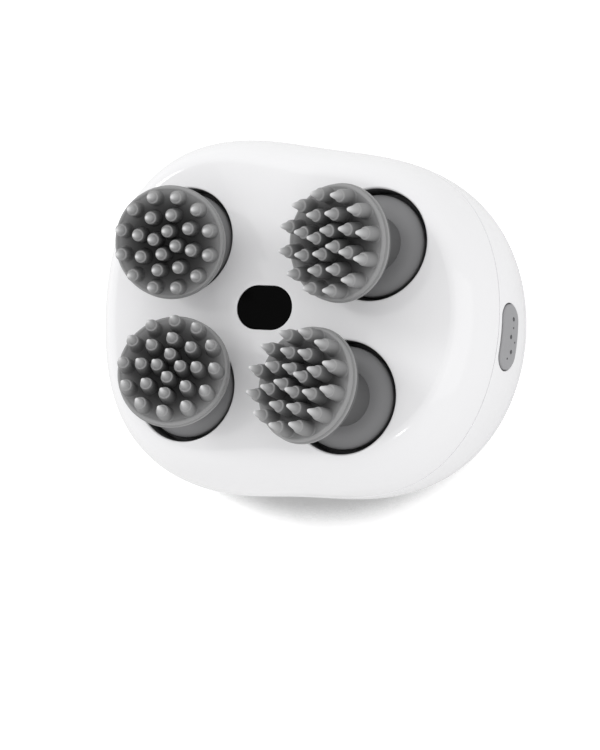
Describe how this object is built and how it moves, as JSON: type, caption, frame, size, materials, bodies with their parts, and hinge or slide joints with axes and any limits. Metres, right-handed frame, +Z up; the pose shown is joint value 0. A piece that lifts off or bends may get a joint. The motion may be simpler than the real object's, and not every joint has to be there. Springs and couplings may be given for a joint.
{
  "type": "electric scalp massager",
  "caption": "Pebble-shaped hand-held scalp massager with leaning rotating silicone heads, a window and a side button.",
  "frame": {"origin": "centre of the casing's outline box, on the surface that the back of the casing lies on", "axes": "+Z up, the way the massage heads point; +X the long way, to the end with the button; +Y across"},
  "size_m": [0.1274, 0.1062, 0.0828],
  "materials": {
    "casing": "white, high gloss",
    "silicone": "mid grey, satin",
    "head_carrier": "grey, satin",
    "turntable": "grey, semi gloss",
    "lens": "black, high gloss",
    "button": "light grey, matt",
    "gasket": "black, matt",
    "gear": "natural acetal, satin",
    "gear_plate": "black, satin",
    "steel": "bright steel",
    "bush": "sintered bronze, matt",
    "board": "green board, satin",
    "battery": "blue sleeve, satin"
  },
  "bodies": {
    "housing": {"front_casing": "casing", "back_casing": "casing", "window_lens": "lens", "parting_gasket": "gasket", "light_board": "board", "gearbox_top_plate": "gear_plate", "gearbox_bottom_plate": "gear_plate", "gearbox_pillars": "gear_plate", "gearbox_screws": "steel", "casing_screws": "steel", "central_axle": "steel", "reduction_axle": "steel", "motor": "steel", "battery": "battery", "main_board": "board", "switch_board": "board", "charging_socket": "steel", "shaft_bush_upper_right": "bush", "shaft_bush_upper_left": "bush", "shaft_bush_lower_left": "bush", "shaft_bush_lower_right": "bush", "shaft_seal_upper_right": "gasket", "shaft_seal_upper_left": "gasket", "shaft_seal_lower_left": "gasket", "shaft_seal_lower_right": "gasket"},
    "central_drive": {"central_gear": "gear"},
    "reduction": {"reduction_gear": "gear"},
    "motor_rotor": {"motor_shaft": "steel", "motor_pinion": "bush"},
    "head_upper_right": {"turntable_upper_right": "turntable", "head_stem_upper_right": "head_carrier", "massage_pad_upper_right": "silicone", "head_gear_upper_right": "gear"},
    "head_upper_left": {"turntable_upper_left": "turntable", "head_stem_upper_left": "head_carrier", "massage_pad_upper_left": "silicone", "head_gear_upper_left": "gear"},
    "head_lower_left": {"turntable_lower_left": "turntable", "head_stem_lower_left": "head_carrier", "massage_pad_lower_left": "silicone", "head_gear_lower_left": "gear"},
    "head_lower_right": {"turntable_lower_right": "turntable", "head_stem_lower_right": "head_carrier", "massage_pad_lower_right": "silicone", "head_gear_lower_right": "gear"},
    "button": {"button_pad": "button"}
  },
  "joints": [
    {"name": "central_gear_spin", "type": "hinge", "parent": "housing", "child": "central_drive", "pos_m": [-0.0018, 0.00028, 0.038], "axis": [0, 0, 1], "continuous": true},
    {"name": "head_upper_right_spin", "type": "hinge", "parent": "housing", "child": "head_upper_right", "pos_m": [0.02714, 0.01812, 0.05], "axis": [0, 0, 1], "continuous": true},
    {"name": "head_upper_left_spin", "type": "hinge", "parent": "housing", "child": "head_upper_left", "pos_m": [-0.03075, 0.01812, 0.05], "axis": [0, 0, 1], "continuous": true},
    {"name": "head_lower_left_spin", "type": "hinge", "parent": "housing", "child": "head_lower_left", "pos_m": [-0.02576, -0.02384, 0.05], "axis": [0, 0, 1], "continuous": true},
    {"name": "head_lower_right_spin", "type": "hinge", "parent": "housing", "child": "head_lower_right", "pos_m": [0.02216, -0.02384, 0.05], "axis": [0, 0, 1], "continuous": true},
    {"name": "reduction_gear_spin", "type": "hinge", "parent": "housing", "child": "reduction", "pos_m": [-0.0018, 0.02628, 0.036], "axis": [0, 0, 1], "continuous": true},
    {"name": "motor_spin", "type": "hinge", "parent": "housing", "child": "motor_rotor", "pos_m": [0.0082, 0.00896, 0.032], "axis": [0, 0, 1], "continuous": true},
    {"name": "button_press", "type": "slide", "parent": "housing", "child": "button", "axis": [-0.9769, 0, -0.2137], "range_m": [0, 0.0008], "stiffness_N_per_m": 600, "springref_m": -0.0005}
  ],
  "couplings": [
    {"joint": "head_upper_right_spin", "follows": "central_gear_spin", "ratio": -1.4286},
    {"joint": "head_upper_left_spin", "follows": "central_gear_spin", "ratio": -1.4286},
    {"joint": "head_lower_left_spin", "follows": "central_gear_spin", "ratio": -1.4286},
    {"joint": "head_lower_right_spin", "follows": "central_gear_spin", "ratio": -1.4286},
    {"joint": "reduction_gear_spin", "follows": "central_gear_spin", "ratio": -3.3333},
    {"joint": "motor_spin", "follows": "central_gear_spin", "ratio": 13.333}
  ]
}
